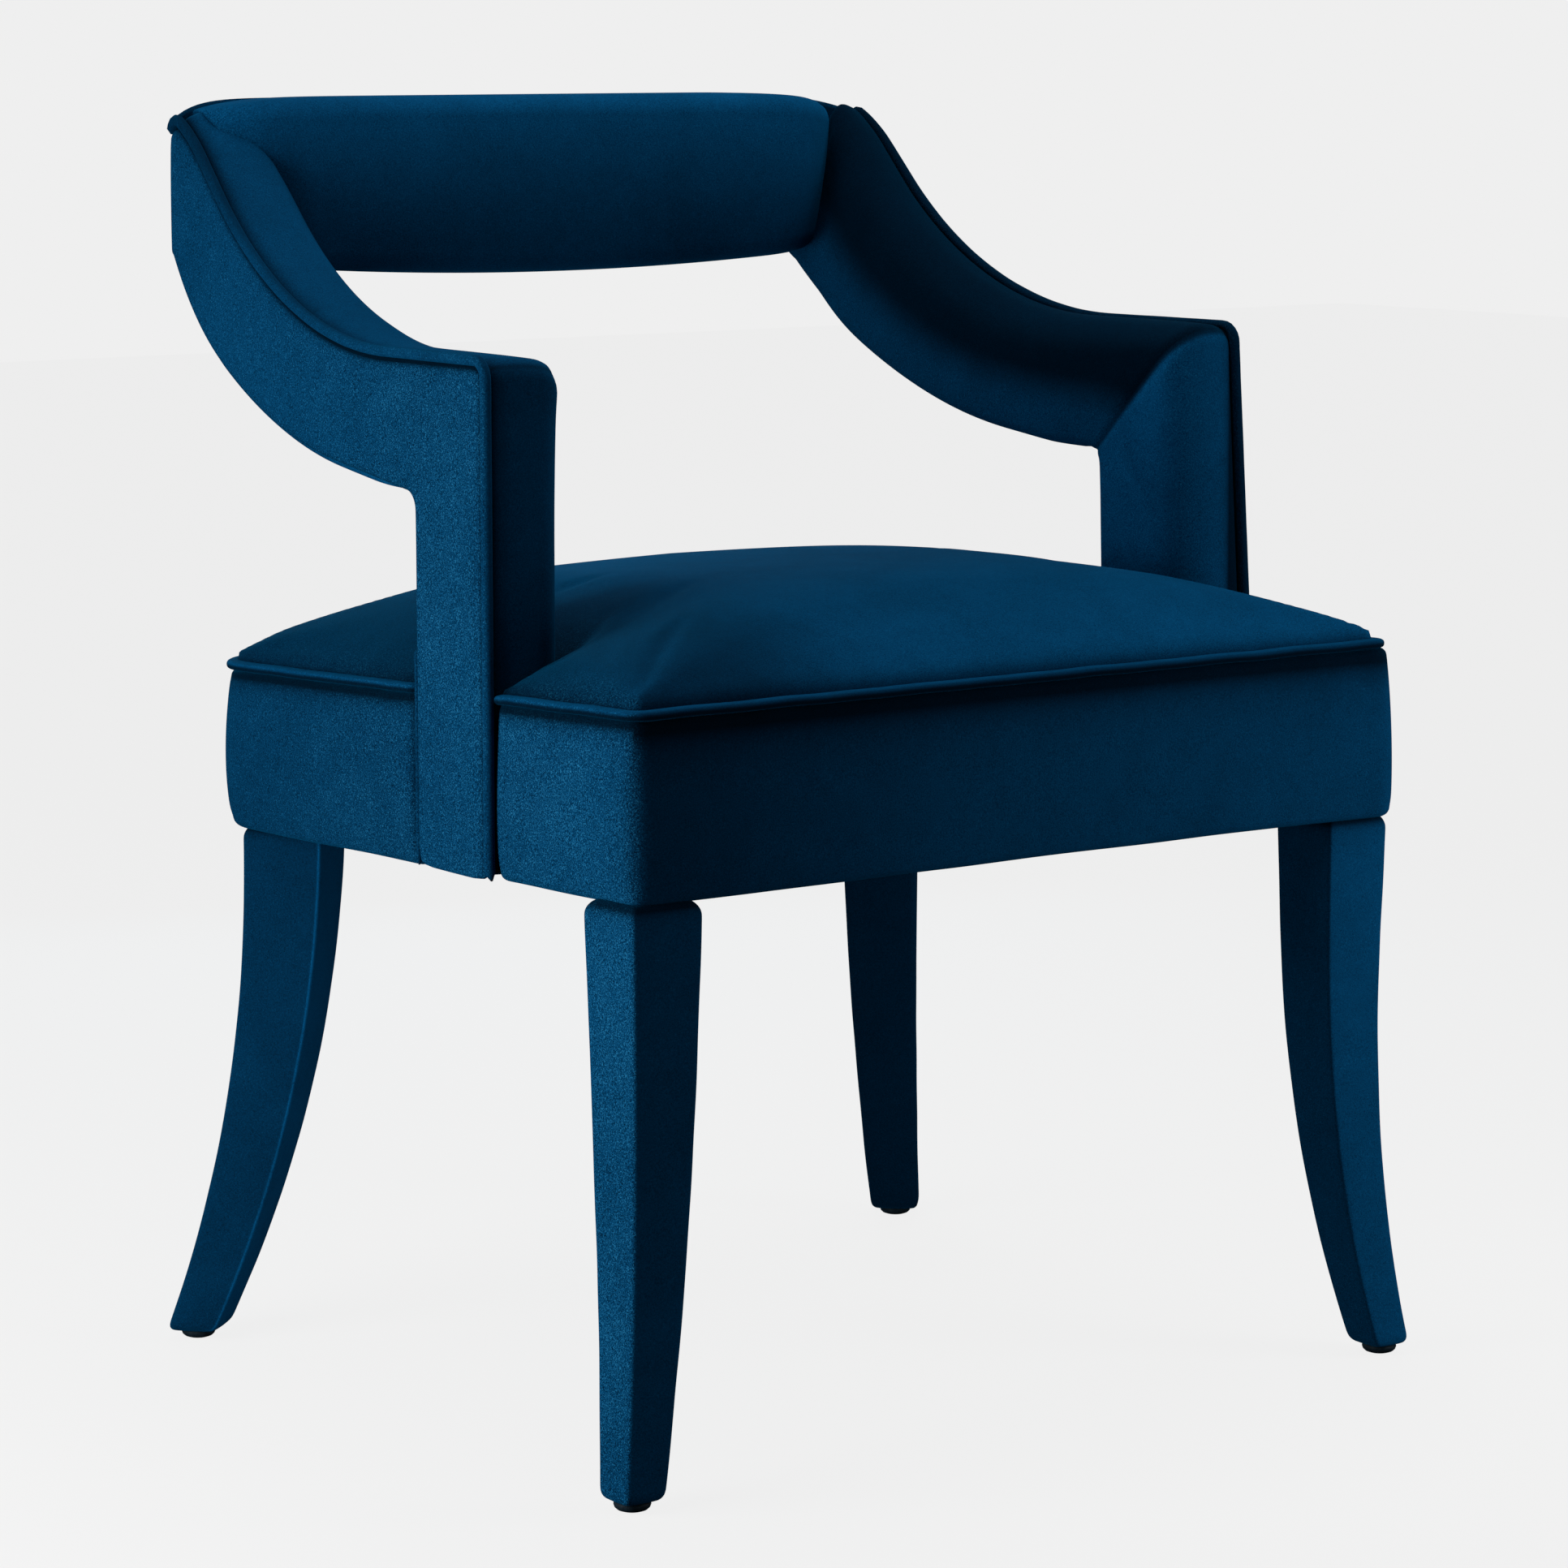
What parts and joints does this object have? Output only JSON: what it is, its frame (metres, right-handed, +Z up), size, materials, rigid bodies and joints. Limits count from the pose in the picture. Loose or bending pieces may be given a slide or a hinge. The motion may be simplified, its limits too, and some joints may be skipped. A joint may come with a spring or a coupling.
{
  "type": "upholstered armchair",
  "caption": "Low-backed armchair in velvet: domed boxed seat with welt, sweeping padded arms on front posts, narrow back band and fabric-covered sabre legs.",
  "frame": {"origin": "on the floor, under the middle of the bounding box", "axes": "+Z up, the sitter faces -Y, +X is towards the sitter's left"},
  "size_m": [0.6254, 0.5481, 0.801],
  "materials": {
    "wood": "raw sawn beech",
    "steel": "zinc plated",
    "webbing": "woven elastic webbing",
    "foam": "cut polyurethane foam",
    "velvet": "short pile velvet with a soft sheen",
    "piping": "velvet bound over cord",
    "lining": "black spunbond",
    "glide": "satin moulded"
  },
  "bodies": {
    "root": {"front_rail": "wood", "rear_rail": "wood", "side_rail_left": "wood", "side_rail_right": "wood", "corner_block_front_left": "wood", "corner_block_front_right": "wood", "corner_block_rear_left": "wood", "corner_block_rear_right": "wood", "arm_post_left": "wood", "arm_post_right": "wood", "arm_rail_left": "wood", "arm_rail_right": "wood", "back_board": "wood", "front_leg_left": "wood", "front_leg_right": "wood", "rear_leg_left": "wood", "rear_leg_right": "wood", "arm_bolts": "steel", "back_board_screws": "steel", "leg_hanger_bolts": "steel", "leg_bolt_nuts": "steel", "webbing_lengthwise": "webbing", "webbing_crosswise": "webbing", "seat_foam": "foam", "arm_foam_left": "foam", "arm_foam_right": "foam", "back_foam": "foam", "seat_cover": "velvet", "boxing_front": "velvet", "boxing_rear": "velvet", "arm_cover_left": "velvet", "arm_cover_right": "velvet", "arm_panel_left": "velvet", "arm_panel_right": "velvet", "back_cover": "velvet", "back_panel": "velvet", "front_leg_cover_left": "velvet", "front_leg_cover_right": "velvet", "rear_leg_cover_left": "velvet", "rear_leg_cover_right": "velvet", "seat_welt_front": "piping", "seat_welt_rear": "piping", "arm_piping_left": "piping", "arm_piping_right": "piping", "post_piping_left": "piping", "post_piping_right": "piping", "back_piping": "piping", "dust_cover": "lining", "front_glide_left": "glide", "front_glide_right": "glide", "rear_glide_left": "glide", "rear_glide_right": "glide"}
  },
  "joints": []
}
